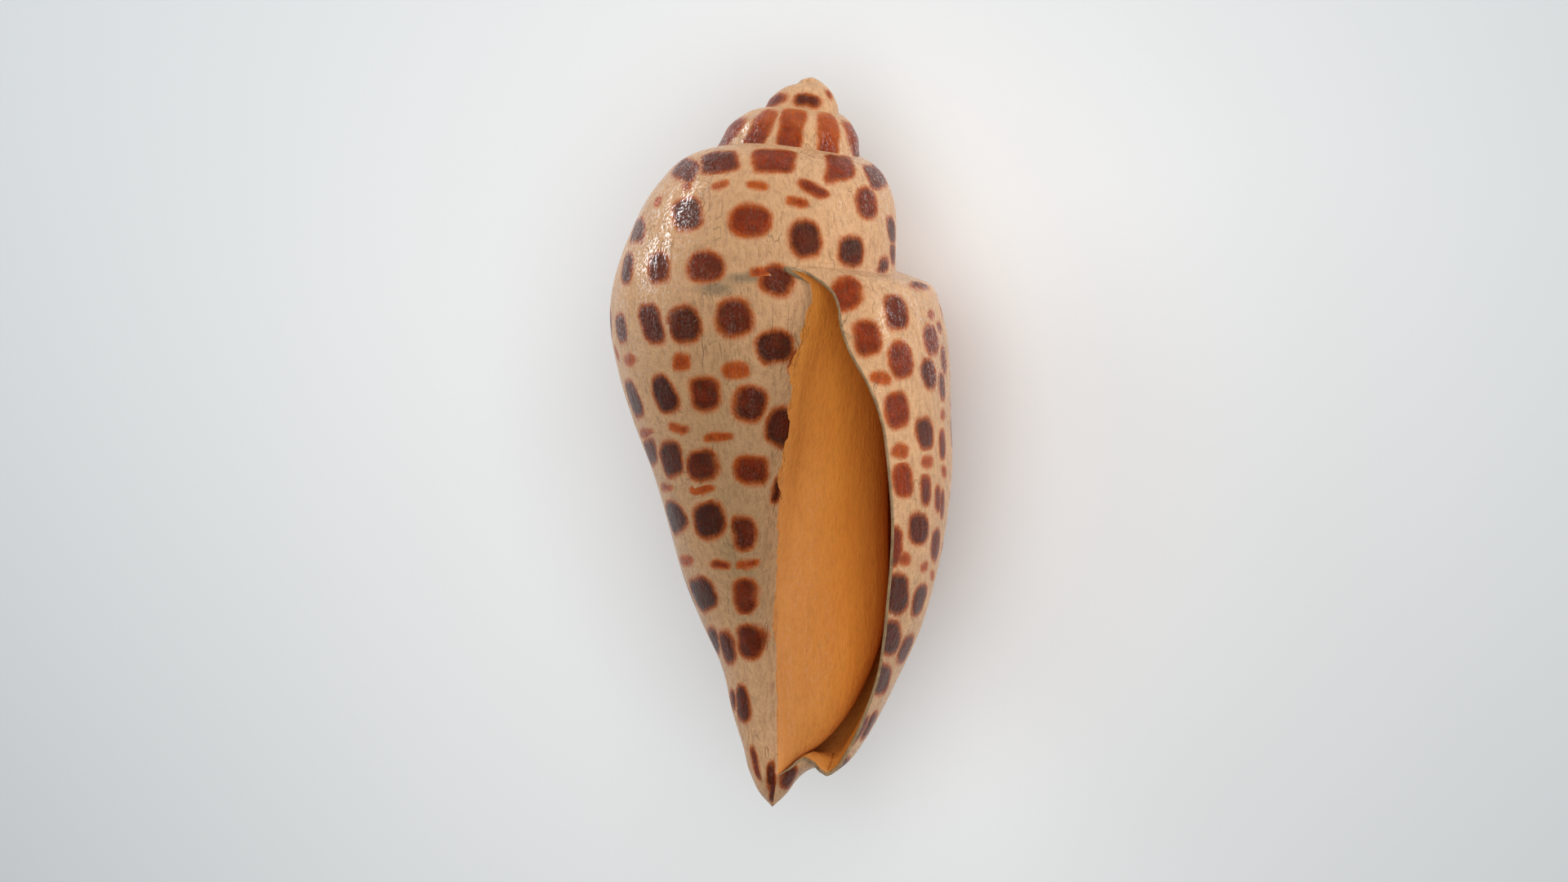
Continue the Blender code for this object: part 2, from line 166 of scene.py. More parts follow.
# How far the growth line swings round from its bearing, down the base: at the fold and at the lip.
SWING_LINES = {
    -430: (0,) * 17,
    -360: (-13, -2, 0, -4, -6, -8, -10, -12, -14, -15, -15, -15, -15, -15, -15, -15, -15),
    -300: (-4, -3, -2, -2, -2, -3, -3, -4, -4, -4, -4, -4, -4, -3, -3, -3, -3),
    -250: (0,) * 17,
    -70: (3, 3, 4, 4, 4, 4, 4, 4, 5, 5, 5, 5, 4, 2, 0, 0, 0),
    0: (18, 18.5, 20, 21.5, 22.5, 24.5, 28, 33, 37, 40, 39, 36, 26, 6, -15, -15, -15),
}

UPPER_STEPS = (3, 3, 3, 3, 4, 4, 5, 5)
LOWER_STEPS = (2, 5, 6, 6, 7, 7, 7, 7, 7, 6, 4, 3, 3, 3, 3, 4)
FINE = np.concatenate([k + np.arange(n) / n for k, n in enumerate(UPPER_STEPS + LOWER_STEPS)] + [[24.0]])
SHOULDER = sum(UPPER_STEPS)
SEAM = SHOULDER + 2
FOOT = SEAM + sum(LOWER_STEPS[1:14])


def through(keys, values, x):
    """A smooth curve through the values at the keys, read at x: a cubic Hermite with limited slopes."""
    keys = np.asarray(keys, float)
    values = np.asarray(values, float)
    x = np.clip(np.asarray(x, float), keys[0], keys[-1])
    spans = np.diff(keys).reshape((-1,) + (1,) * (values.ndim - 1))
    chords = np.diff(values, axis=0) / spans
    before, after = chords[:-1], chords[1:]
    mean = (before * spans[1:] + after * spans[:-1]) / (spans[1:] + spans[:-1])
    limit = 3 * np.minimum(abs(before), abs(after))
    inner = np.where(before * after > 0, np.clip(mean, -limit, limit), 0.0)
    slopes = np.concatenate([chords[:1], inner, chords[-1:]])
    at = np.clip(np.searchsorted(keys, x, side="right") - 1, 0, len(keys) - 2)
    shape = x.shape + (1,) * (values.ndim - 1)
    span = (keys[at + 1] - keys[at]).reshape(shape)
    s = ((x - keys[at]) / (keys[at + 1] - keys[at])).reshape(shape)
    return (
        (2 * s**3 - 3 * s**2 + 1) * values[at]
        + (s**3 - 2 * s**2 + s) * span * slopes[at]
        + (3 * s**2 - 2 * s**3) * values[at + 1]
        + (s**3 - s**2) * span * slopes[at + 1]
    )


axis_depth = np.linspace(-5.0, AXIS_LENGTH + 5.0, 1200)
axis_hook = np.clip((axis_depth - TIP_HOOK_DEPTH) / (AXIS_LENGTH - TIP_HOOK_DEPTH), 0, 1)
axis_share = 0.5 * (1 - np.tanh((axis_depth - LEAN_CHANGE_DEPTH) / LEAN_CHANGE_LENGTH))
axis_lean = np.radians(LEAN_AT_TIP + (LEAN_AT_SPIRE - LEAN_AT_TIP) * axis_share + TIP_HOOK * axis_hook)
axis_x = -np.cumsum(np.sin(axis_lean)) * (axis_depth[1] - axis_depth[0])
axis_y = -np.cumsum(np.cos(axis_lean)) * (axis_depth[1] - axis_depth[0])
axis_x += APEX_X - np.interp(0, axis_depth, axis_x)
axis_y += APEX_Y - np.interp(0, axis_depth, axis_y)


def place(depth, radius, bearing):
    """Points at a depth and radius from the bowed axis, at a bearing round it."""
    angle = np.interp(depth, axis_depth, axis_lean)
    across = radius * np.sin(np.radians(bearing))
    x = np.interp(depth, axis_depth, axis_x) + across * np.cos(angle)
    y = np.interp(depth, axis_depth, axis_y) - across * np.sin(angle)
    return np.stack([x, y, radius * np.cos(np.radians(bearing))], axis=-1)


def raw_sections(growths):
    """Depth, radius and swing down every growth line, at the lines' own points."""
    line = np.array(SHOULDER_LINE, float)
    low = through(line[:, 0], line[:, 1:], growths)[:, None]
    high = through(line[:, 0], line[:, 1:], growths - TURN)[:, None]
    swell = through(list(SWELL_LINES), list(SWELL_LINES.values()), growths)
    swell = np.concatenate([swell, np.tile(np.array(SWELL_SWING)[None, :, None], (len(growths), 1, 1))], 2)
    base = through(list(BASE_LINES), list(BASE_LINES.values()), growths)
    swing = through(list(SWING_LINES), list(SWING_LINES.values()), growths)
    lower = np.concatenate([base, swing[..., None]], 2)
    lower[:, 0] = low[:, 0]
    return np.concatenate([high + (low - high) * swell, lower[:, 1:]], 1)


def sections(growths):
    """The growth lines eased round the whorl and filled in between their points."""
    from_lip = abs(growths - TURN * np.round(growths / TURN))
    reach = np.minimum(1, from_lip / 24) * 9
    coarse = sum(w * raw_sections(growths + d * reach) for w, d in ((0.25, -1), (0.5, 0), (0.25, 1)))
    fine = np.empty((len(growths), len(FINE), 3))
    whole = np.arange(coarse.shape[1])
    for column, line in enumerate(coarse):
        length = np.concatenate([[0], np.cumsum(np.linalg.norm(np.diff(line[:, :2], axis=0), axis=1) + 0.02)])
        fine[column] = through(length, line, np.interp(FINE, whole, length))
    return fine


RADIAN = 57.3
FOLD_FADE = 25
RING_HEIGHT = 0.07
DENT_DEPTH = 0.10


def wobble(growths, rows):
    """Slight unevenness of the wall: growth rings and broad dents, none at the suture or the tip."""
    g = growths[:, None] / RADIAN
    r = FINE[rows][None, :]
    rings = 0.5 * np.sin(17 * g + 2.0 * np.sin(3.1 * g) + 0.3 * r) * (0.6 + 0.4 * np.sin(5 * g + r))
    dents = np.sin(2.3 * g + 0.9 * r) * np.sin(0.7 * r - 1.9 * g)
    fade = np.clip(r / 3, 0, 1) * np.clip((22 - r) / 5, 0, 1)
    fade = fade * np.clip(-growths[:, None] / 15, 0, 1)
    keep = np.where(growths[:, None] < -350, np.clip((8 - r) / 2, 0, 1), 1)
    past_fold = growths[:, None] + TURN
    keep = np.where((past_fold > 0) & (past_fold < FOLD_FADE), past_fold / FOLD_FADE, keep)
    return (RING_HEIGHT * rings + DENT_DEPTH * dents) * fade * keep


def bearings(growths, swing):
    """Bearings round the axis, from the growth and the swing of the growth line."""
    return LIP_BEARING - growths[:, None] + swing


def outer_face(growths):
    """The wall's outer face: its points, and their depth, radius and swing."""
    part = sections(growths)
    radius = part[..., 1] + wobble(growths, np.arange(len(FINE)))
    return place(part[..., 0], radius, bearings(growths, part[..., 2])), part


def inner_face(growths):
    """The wall's inner face: the outer one moved in by the wall, joined to the whorl it wraps round."""
    part = sections(growths)
    wrapped, core = outer_face(growths - TURN)
    core = core[:, SEAM : FOOT + 1]
    run = np.gradient(part[..., :2], axis=1)
    run /= np.linalg.norm(run, axis=2, keepdims=True) + 1e-9
    table = np.array(WALL_LINE)
    wall = through(table[:, 0], table[:, 1], growths)[:, None]
    above_foot = 22 - FINE
    depth = np.minimum(part[..., 0] + wall * run[..., 1], core[:, -1:, 0] - 0.3 * above_foot)
    radius = part[..., 1] - wall * run[..., 0]
    for column in range(len(growths)):
        least = np.interp(depth[column], core[column, :, 0], core[column, :, 1])
        radius[column] = np.maximum(radius[column], least + CANAL_GAP * np.clip(above_foot / 3, 0, 1))
    points = place(depth, radius, bearings(growths, part[..., 2]))[:, : FOOT + 1]
    points[:, 0] = wrapped[:, SEAM]
    points[:, -1] = wrapped[:, FOOT]
    return points, part[:, : FOOT + 1]


turn_steps = np.concatenate([np.arange(0, 14, 1.0), np.arange(14, 346, 2.0), np.arange(346, 360, 1.0)])
every_growth = np.sort(np.concatenate([-turn_steps - TURN * k for k in range(5)]))
every_growth = every_growth[every_growth >= START_GROWTH]


def growths_between(first, last):
    """The growth lines of the mesh from one growth to another."""
    return every_growth[(every_growth >= first - 0.01) & (every_growth <= last + 0.01)]


shell_bm = bmesh.new()
corner_map = shell_bm.loops.layers.uv.new("growth_map")
corner_inner = shell_bm.loops.layers.float.new("inner_layer")
corner_rim = shell_bm.loops.layers.float.new("lip_rim")
corner_spot = shell_bm.loops.layers.float_vector.new("spot_place")
corner_shape = shell_bm.loops.layers.float_vector.new("spot_shape")
NO_SPOT = ((99.0, 99.0, 0.0), (1.0, 1.0, 2.5))
MAP_MM = 0.35
MOUTH_EDGE = -TURN * MAP_MM


def add_patch(points, growths, depths, inner=0.0, rim=0.0, spots=None):
    """A bmesh grid moved to the points, growths by rows, with its corner values."""
    across, down = points.shape[0] - 1, points.shape[1] - 1
    grid = bmesh.ops.create_grid(shell_bm, x_segments=across, y_segments=down, size=0.5)
    cells = {}
    for vert in grid["verts"]:
        column = round((vert.co.x + 0.5) * across)
        row = round((vert.co.y + 0.5) * down)
        vert.co = Vector(points[column, row]) * MM
        for corner in vert.link_loops:
            corner[corner_map].uv = (growths[column] * MAP_MM, depths[column, row])
            corner[corner_inner] = inner
            corner[corner_rim] = rim
            corner[corner_spot], corner[corner_shape] = NO_SPOT
            if spots is not None:
                cells.setdefault(corner.face, []).append((corner, column, row))
    for corners in cells.values():
        first_column = min(column for corner, column, row in corners)
        first_row = min(row for corner, column, row in corners)
        nearest = spots[first_column, first_row]
        if nearest < 0:
            continue
        for corner, column, row in corners:
            corner[corner_spot], corner[corner_shape] = spot_corner(nearest, points[column, row])


# The spots are pigment in the outer layer, laid in rows that follow the whorl. Each one on the front has its
# place, width, height, tone from 0 dark brown to 1 orange, and tilt in degrees, as seen from the front.
FRONT_SPOTS = (
    # first whorls
    (-0.2, 96.9, 2.9, 1.4, 0.45, 38), (4.5, 96.8, 3.9, 1.9, 0.2, -12), (7.3, 97.5, 0.7, 1.3, 0.5, 35),
    # stripes, paler at the top
    (-6.4, 92.6, 1.6, 4.9, 0.3, -30), (-2.3, 93.1, 2.8, 6.4, 0.45, -23), (2.1, 93.0, 3.4, 6.6, 0.5, -8),
    (7.4, 92.4, 2.9, 6.6, 0.55, 3), (11.1, 91.3, 1.2, 5.1, 0.3, 8),
    # under the shoulder
    (-12.7, 87.7, 3.4, 3.4, 0.3, -30), (-7.7, 88.7, 5.2, 3.1, 0.3, 4), (-0.4, 88.7, 5.8, 3.6, 0.5, 0),
    (8.7, 88.0, 3.8, 3.7, 0.5, 8), (14.1, 86.5, 2.4, 3.9, 0.3, 28),
    # small, under the first row
    (-12.3, 85.1, 1.2, 1.3, 0.6, 0), (-7.5, 85.3, 2.5, 1.1, 0.85, 8), (-2.6, 85.1, 2.5, 1.1, 0.9, -3),
    (5.3, 84.9, 4.3, 1.7, 0.45, -28), (3.1, 82.6, 3.1, 1.5, 0.75, -10),
    # second row
    (-19.2, 78.9, 1.8, 3.8, 0.3, -12), (-12.2, 81.0, 4.1, 4.5, 0.12, 5), (-3.6, 80.4, 5.6, 4.6, 0.5, -3),
    (4.1, 77.7, 4.5, 5.1, 0.12, 5), (12.7, 82.5, 3.1, 4.3, 0.42, 12), (16.1, 79.2, 1.3, 3.8, 0.2, 5),
    # third row
    (-20.4, 73.6, 1.7, 4.5, 0.2, -5), (-16.0, 73.9, 2.9, 4.4, 0.25, 5), (-9.5, 73.8, 5.1, 4.4, 0.32, 3),
    (-1.9, 73.3, 2.7, 1.4, 0.7, 10), (10.4, 75.9, 3.6, 4.2, 0.1, 0), (14.6, 74.1, 1.4, 2.3, 0.25, -20),
    (16.4, 75.8, 0.9, 2.9, 0.3, 0),
    # fourth row
    (-21.4, 65.6, 1.6, 4.5, 0.25, 7), (-17.1, 66.2, 3.1, 5.8, 0.2, 20), (-12.4, 66.3, 4.3, 5.1, 0.12, 15),
    (-5.5, 66.9, 5.2, 5.1, 0.25, 5), (-0.2, 63.6, 5.2, 4.7, 0.1, 15), (0.3, 71.6, 4.6, 4.2, 0.28, -25),
    # small, under the fourth
    (-20.1, 61.4, 1.6, 1.5, 0.75, -30), (-12.9, 61.1, 2.3, 2.2, 0.7, 0), (-5.4, 60.0, 3.5, 2.3, 0.75, 0),
    (2.6, 60.8, 1.7, 3.2, 0.35, -8),
    # fifth row
    (-19.3, 55.7, 1.7, 5.6, 0.12, 18), (-15.3, 57.1, 3.1, 5.6, 0.05, 22), (-9.5, 56.1, 4.4, 4.9, 0.3, 12),
    (-3.7, 55.2, 4.6, 5.0, 0.2, -22), (0.8, 52.4, 4.0, 5.6, 0.12, -20),
    # small, under the fifth
    (-18.0, 50.8, 1.6, 1.3, 0.7, -20), (-13.2, 52.1, 2.6, 1.3, 0.75, -5), (-7.9, 51.3, 3.6, 1.2, 0.8, 8),
    # sixth row
    (-17.1, 48.2, 1.7, 3.8, 0.2, 15), (-14.5, 47.9, 3.1, 5.1, 0.12, 12), (-9.9, 46.8, 4.4, 4.5, 0.25, 8),
    (-3.6, 46.3, 4.7, 4.2, 0.42, 0), (-0.1, 43.8, 1.5, 3.7, 0.1, -12),
    # small, under the sixth
    (-15.1, 43.7, 1.6, 1.1, 0.8, 0), (-10.3, 43.3, 3.5, 1.1, 0.8, 7),
    # seventh row
    (-14.1, 39.5, 2.4, 4.8, 0.05, 20), (-9.1, 39.3, 4.6, 5.2, 0.05, 15), (-4.4, 37.8, 3.3, 5.0, 0.3, 5),
    # small, under the seventh
    (-12.4, 33.6, 2.0, 1.3, 0.8, -8), (-7.7, 33.8, 2.6, 1.3, 0.5, 0), (-3.9, 33.3, 3.0, 1.2, 0.75, 4),
    # eighth row
    (-10.1, 29.0, 3.4, 5.2, 0.1, 22), (-4.3, 29.3, 3.3, 4.8, 0.35, 0),
    # ninth row
    (-8.7, 22.8, 1.2, 3.8, 0.1, 18), (-6.7, 21.9, 2.0, 4.9, 0.15, 12), (-3.7, 22.3, 3.6, 4.9, 0.3, 3),
    # tenth row
    (-5.9, 14.7, 0.7, 2.9, 0.2, 8), (-4.6, 14.1, 1.9, 5.2, 0.15, 6),
    # foot
    (-2.8, 5.8, 0.9, 4.5, 0.4, 15), (-0.4, 3.1, 1.5, 5.4, 0.2, 5), (1.8, 4.0, 2.0, 3.8, 0.25, -25),
    # lip side, top
    (9.5, 70.3, 4.3, 4.5, 0.55, 10), (16.5, 67.7, 3.1, 4.8, 0.3, 10), (19.7, 72.0, 2.9, 0.9, 0.3, -8),
    (21.3, 67.4, 0.9, 1.2, 0.65, 10), (22.7, 66.2, 0.7, 1.6, 0.4, 5), (21.2, 64.3, 2.1, 4.5, 0.45, 10),
    # lip side, second
    (12.6, 63.9, 3.8, 4.9, 0.45, 12), (17.1, 61.2, 3.4, 5.0, 0.45, 10), (23.3, 61.7, 0.8, 4.0, 0.4, 4),
    (20.8, 59.4, 2.1, 4.4, 0.25, 8), (14.3, 58.8, 2.7, 1.5, 0.75, -8),
    # lip side, third
    (16.5, 54.0, 3.5, 4.9, 0.5, 8), (23.1, 57.5, 1.0, 4.0, 0.25, 4), (20.3, 51.5, 2.4, 4.5, 0.22, 8),
    (23.2, 53.9, 0.6, 1.5, 0.7, 0), (17.0, 49.0, 2.2, 1.6, 0.75, -15), (22.8, 50.1, 1.0, 4.0, 0.35, 3),
    # lip side, fourth
    (20.8, 47.1, 1.7, 1.6, 0.75, -10), (23.0, 46.0, 0.7, 1.6, 0.7, 0), (17.5, 44.7, 2.7, 4.8, 0.6, 5),
    (20.5, 43.4, 1.6, 4.3, 0.4, 3), (22.0, 42.4, 1.0, 3.7, 0.4, 2), (22.9, 41.5, 0.7, 3.8, 0.4, 0),
    # lip side, fifth
    (19.5, 38.1, 3.0, 4.4, 0.2, 5), (21.9, 35.9, 1.3, 4.6, 0.3, -4), (15.2, 36.0, 2.3, 5.4, 0.45, 0),
    (17.5, 33.8, 1.9, 1.7, 0.75, -10), (20.4, 33.0, 1.1, 1.3, 0.75, 0), (21.7, 31.7, 0.6, 1.3, 0.75, 0),
    # lip side, sixth
    (16.6, 29.3, 3.4, 5.8, 0.1, 0), (19.5, 28.4, 1.9, 4.6, 0.15, -15),
    # lip side, seventh
    (15.9, 23.1, 2.8, 5.3, 0.1, -5), (18.0, 21.9, 1.6, 4.6, 0.25, -22),
    # lip side, eighth
    (14.5, 17.4, 2.7, 4.8, 0.15, -10), (11.4, 10.8, 0.9, 4.5, 0.3, -28), (13.0, 11.2, 1.1, 4.5, 0.3, -28),
    (8.9, 6.3, 1.3, 2.5, 0.3, -40),
)
VIEW_FROM = (1.1, 50.2, 573.0)

# Depths of the rows at the left and at the right of the last whorl, the growths of those two places, and the
# stretch of growth on the far side that the rows carry on over.
ROWS_LEFT = (15.5, 21.5, 28.5, 36.0, 45.0, 53.5, 61.5, 70.5, 78.0, 85.5)
ROWS_RIGHT = (26.5, 33.0, 40.0, 47.5, 55.0, 61.5, 68.5, 75.5, 81.5, 87.0)
ROWS_LEFT_AT = -238
ROWS_RIGHT_AT = -84
BACK_FIRST = -290
BACK_LAST = -50
BACK_STEPS = 14


def seen_from_front(points):
    """Where points show on the plane through the axis, from the place that the spots were listed from."""
    spread = VIEW_FROM[2] / (VIEW_FROM[2] - points[:, 2])
    x = VIEW_FROM[0] + (points[:, 0] - VIEW_FROM[0]) * spread
    y = VIEW_FROM[1] + (points[:, 1] - VIEW_FROM[1]) * spread
    return x, y


def face_normals(points):
    """Outward normals of a patch's points."""
    along = np.gradient(points, axis=0)
    down = np.gradient(points, axis=1)
    normals = np.cross(along, down)
    return normals / (np.linalg.norm(normals, axis=2, keepdims=True) + 1e-12)


upper_growths = growths_between(START_GROWTH, 0)
upper_points, upper_part = outer_face(upper_growths)
upper_points, upper_part = upper_points[:, : SHOULDER + 1], upper_part[:, : SHOULDER + 1]
lower_growths = growths_between(-TURN, 0)
lower_points, lower_part = outer_face(lower_growths)
lower_points, lower_part = lower_points[:, SHOULDER:], lower_part[:, SHOULDER:]


def cell_middles(values):
    """The mean of each cell's four corners."""
    return 0.25 * (values[1:, 1:] + values[:-1, 1:] + values[1:, :-1] + values[:-1, :-1])


def in_cells(upper, lower):
    """Values of both outer patches, cell by cell, in one list."""
    upper, lower = cell_middles(upper), cell_middles(lower)
    wide = upper.shape[2:]
    return np.concatenate([upper.reshape((-1,) + wide), lower.reshape((-1,) + wide)])


OPEN_ROOM = 4.0
skin = in_cells(upper_points, lower_points)
skin_normal = in_cells(face_normals(upper_points), face_normals(lower_points))
skin_growth = in_cells(
    np.repeat(upper_growths[:, None], upper_points.shape[1], axis=1),
    np.repeat(lower_growths[:, None], lower_points.shape[1], axis=1),
)
skin_depth = in_cells(upper_part[..., 0], lower_part[..., 0])
skin_edge = np.full(len(skin), OPEN_ROOM)
skin_spot = np.full(len(skin), -1)
laid_spots = []
ROUNDED = 2.6
SQUARED = 4.5
STRIPE_BAND = (90.0, 94.5)
SHOULDER_BAND = (86, 90)
STRIPE_FADE = 0.42
SAME_WHORL = 75
FINDING_REACH = 0.9
TURNED_AWAY = 0.02
FRONT_LAYER = 2.0


def spot_offsets(spot, points):
    """How far points lie across and up from a spot's middle, along the surface, in millimetres."""
    offset = points - spot["middle"]
    offset = offset - (offset @ spot["normal"])[..., None] * spot["normal"]
    return (offset @ spot["across"]) / spot["flat"][0], (offset @ spot["up"]) / spot["flat"][1]


def spot_corner(number, point):
    """The values that a corner of a cell keeps: its place and tone on the spot, and the spot's size."""
    spot = laid_spots[number]
    dx, dy = spot_offsets(spot, point)
    rise = np.clip(0.5 + dy / spot["half"][1] / 2, 0, 1)
    tone = spot["tone"] + (spot["top"] - spot["tone"]) * rise
    return (dx, dy, tone), (spot["half"][0], spot["half"][1], spot["square"])


def lay_spot(cell, across, up, width, height, tone, tilt=0.0, top=None, square=ROUNDED):
    """Keep one spot, and give it the cells that it is nearest to."""
    normal = skin_normal[cell]
    turn = np.radians(tilt)
    across, up = across * np.cos(turn) + up * np.sin(turn), up * np.cos(turn) - across * np.sin(turn)
    flat = [max(0.3, np.linalg.norm(v - (v @ normal) * normal)) for v in (across, up)]
    spot = {
        "middle": skin[cell], "normal": normal, "across": across, "up": up, "flat": flat,
        "half": (width / 2 / flat[0], height / 2 / flat[1]),
        "tone": tone, "top": tone if top is None else top, "square": square,
    }
    near = np.where(
        (abs(skin_growth - skin_growth[cell]) < SAME_WHORL)
        & (np.linalg.norm(skin - skin[cell], axis=1) < 1.4 * max(width, height) + 6)
    )[0]
    dx, dy = spot_offsets(spot, skin[near])
    size = ((abs(dx) / spot["half"][0]) ** square + (abs(dy) / spot["half"][1]) ** square) ** (1 / square)
    edge = np.hypot(dx, dy) * (1 - 1 / np.maximum(size, 0.02))
    closer = edge < skin_edge[near]
    skin_edge[near[closer]] = edge[closer]
    skin_spot[near[closer]] = len(laid_spots)
    laid_spots.append(spot)


front_x, front_y = seen_from_front(skin)
for x, y, width, height, tone, tilt in FRONT_SPOTS:
    far = np.hypot(front_x - x, front_y - y)
    facing = np.where((far < FINDING_REACH) & (skin_normal[:, 2] > TURNED_AWAY))[0]
    if len(facing) == 0:
        cell = np.argmin(far + 5 * (skin_normal[:, 2] < TURNED_AWAY))
    else:
        top = skin[facing, 2].max()
        level = facing[skin[facing, 2] > top - FRONT_LAYER]
        cell = level[np.argmin(far[level])]
    stripe = STRIPE_BAND[0] < y < STRIPE_BAND[1]
    shoulder = SHOULDER_BAND[0] < y < SHOULDER_BAND[1]
    lay_spot(
        cell, np.array([1.0, 0, 0]), np.array([0, 1.0, 0]), width, height, tone, tilt,
        top=tone + STRIPE_FADE if stripe else None,
        square=SQUARED if stripe or shoulder else ROUNDED,
    )

rng = np.random.default_rng(7)
FAR_OFF = 1e9
MOST_ROOM = 3.2
LEAST_GAP = 0.7


def apart(growth, depth):
    """The squared distance of every cell from a place, on the map."""
    return ((skin_growth - growth) * MAP_MM) ** 2 + (skin_depth - depth) ** 2


def lay_hidden(growth, depth, width, height, tone, square=ROUNDED):
    """Lay a spot that doesn't show from the front, unless another one already lies there."""
    cell = np.argmin(apart(growth, depth))
    if skin_edge[cell] < min(MOST_ROOM, 0.5 * width + LEAST_GAP):
        return
    here = abs(skin_growth - skin_growth[cell]) < 0.1
    ahead = np.argmin(np.where(here, FAR_OFF, 0) + apart(growth + 4, depth))
    normal = skin_normal[cell]
    across = skin[ahead] - skin[cell]
    across = across - (across @ normal) * normal
    across /= np.linalg.norm(across)
    up = np.cross(normal, across)
    lay_spot(cell, across, up, width, height, tone, rng.uniform(-12, 12), square=square)


for row in range(len(ROWS_LEFT)):
    for step in range(BACK_STEPS):
        share = (step + 0.12 * rng.uniform(-1, 1) + (0.3 if row % 2 else -0.1)) / BACK_STEPS
        growth = BACK_FIRST + (BACK_LAST - BACK_FIRST) * share
        share = (growth - ROWS_LEFT_AT) / (ROWS_RIGHT_AT - ROWS_LEFT_AT)
        depth = ROWS_LEFT[row] + (ROWS_RIGHT[row] - ROWS_LEFT[row]) * share + 0.5 * rng.uniform(-1, 1)
        reach = np.interp(depth, (15, 60, 90), (1.0, 0.95, 0.55))
        wide = rng.uniform(3.6, 4.9) * reach
        tall = rng.uniform(4.2, 5.2) * (1 if row else 0.8)
        lay_hidden(growth, depth, wide, tall, 0.1 + 0.4 * rng.random(), 3.6 if row == 0 else ROUNDED)
        if row < 9 and rng.random() < 0.75:
            below = (ROWS_LEFT[row + 1] - ROWS_LEFT[row]) * (1 - share)
            below += (ROWS_RIGHT[row + 1] - ROWS_RIGHT[row]) * share
            lay_hidden(growth + 9, depth + below * 0.5, wide * 0.6, 1.5, 0.8)

# The far side of the whorl before the last has two rows, and that of the one before it has one.
for growth in range(-590, -440, 22):
    for level, size in ((0.2, 3.8), (0.62, 3.6)):
        share = (growth + 610) / 180
        depth = np.interp(share, (0, 1), (7.2, 10.5)) + level * np.interp(share, (0, 1), (5, 14))
        lay_hidden(growth + 9 * (level > 0.5), depth, 3.4, size * np.interp(share, (0, 1), (0.75, 1)), 0.3)
for growth in (-955, -925, -895, -865, -835, -808):
    lay_hidden(growth, np.interp(growth, (-970, -790), (4.8, 6.4)), 2.0, 3.6, 0.5, 4.0)

upper_cells = (upper_points.shape[0] - 1) * (upper_points.shape[1] - 1)
add_patch(
    upper_points, upper_growths, upper_part[..., 0],
    spots=skin_spot[:upper_cells].reshape(len(upper_points) - 1, -1),
)
add_patch(
    lower_points, lower_growths, lower_part[..., 0],
    spots=skin_spot[upper_cells:].reshape(len(lower_points) - 1, -1),
)

# The inner layer: the surface the last whorl wraps round, the inside of its wall, and the rim of the lip.
core_growths = growths_between(CAVITY_END - TURN, -TURN)
core_points, core_part = outer_face(core_growths)
add_patch(
    core_points[:, SEAM : FOOT + 1], core_growths, core_part[:, SEAM : FOOT + 1, 0], inner=1.0
)
wall_growths = growths_between(CAVITY_END, 0)
wall_points, wall_part = inner_face(wall_growths)
add_patch(wall_points, wall_growths, wall_part[..., 0], inner=1.0)
lip_outer, lip_part = outer_face(np.array([0.0]))
lip_outer = lip_outer[0, : FOOT + 1]
lip_inner = wall_points[-1]
lip_steps = np.linspace(0, 1, 6)
LIP_ROUNDING = 0.45
lip_ahead = outer_face(np.array([-2.0, 0.0]))[0]
lip_ahead = lip_ahead[1, : FOOT + 1] - lip_ahead[0, : FOOT + 1]
lip_ahead /= np.linalg.norm(lip_ahead, axis=1, keepdims=True)
lip_width = np.linalg.norm(lip_outer - lip_inner, axis=1, keepdims=True)
lip_bulge = LIP_ROUNDING * np.sqrt(np.maximum(0, 1 - (2 * lip_steps - 1) ** 2))
lip_points = np.stack([
    lip_inner + (lip_outer - lip_inner) * step + lip_ahead * lip_width * bulge
    for step, bulge in zip(lip_steps, lip_bulge)
])
lip_depths = np.tile(lip_part[0, : FOOT + 1, 0], (len(lip_steps), 1))
add_patch(lip_points, np.zeros(len(lip_steps)), lip_depths, rim=1.0)

WELD = 0.004
SLIVER = 0.002
bmesh.ops.remove_doubles(shell_bm, verts=shell_bm.verts, dist=WELD * MM)
bmesh.ops.dissolve_degenerate(shell_bm, edges=shell_bm.edges, dist=SLIVER * MM)
bmesh.ops.holes_fill(shell_bm, edges=[e for e in shell_bm.edges if e.is_boundary], sides=0)
rest_turn = Matrix.Rotation(np.radians(REST_PITCH), 3, "X") @ Matrix.Rotation(np.radians(REST_ROLL), 3, "Y")
bmesh.ops.rotate(shell_bm, matrix=rest_turn, verts=shell_bm.verts)
bmesh.ops.translate(shell_bm, vec=Vector(REST_AT) * MM, verts=shell_bm.verts)
for vert in shell_bm.verts:
    vert.co.z = max(vert.co.z, 0.0)
bmesh.ops.recalc_face_normals(shell_bm, faces=shell_bm.faces)
shell_mesh = bpy.data.meshes.new("junonia_shell")
shell_bm.to_mesh(shell_mesh)
shell_bm.free()
shell_mesh.shade_smooth()
shell = bpy.data.objects.new("junonia_shell", shell_mesh)
bpy.context.scene.collection.objects.link(shell)


def ramp(nodes, stops):
    node = nodes.new("ShaderNodeValToRGB")
    while len(node.color_ramp.elements) < len(stops):
        node.color_ramp.elements.new(0.5)
    for element, (position, colour) in zip(node.color_ramp.elements, stops):
        element.position = position
        element.color = tuple(colour) + (1,)
    return node


def math(nodes, links, operation, a, b=None, c=None, clamp=False):
    node = nodes.new("ShaderNodeMath")
    node.operation = operation
    node.use_clamp = clamp
    for slot, value in enumerate((a, b, c)):
        if value is None:
            continue
        if isinstance(value, (int, float)):
            node.inputs[slot].default_value = value
        else:
            links.new(value, node.inputs[slot])
    return node.outputs[0]


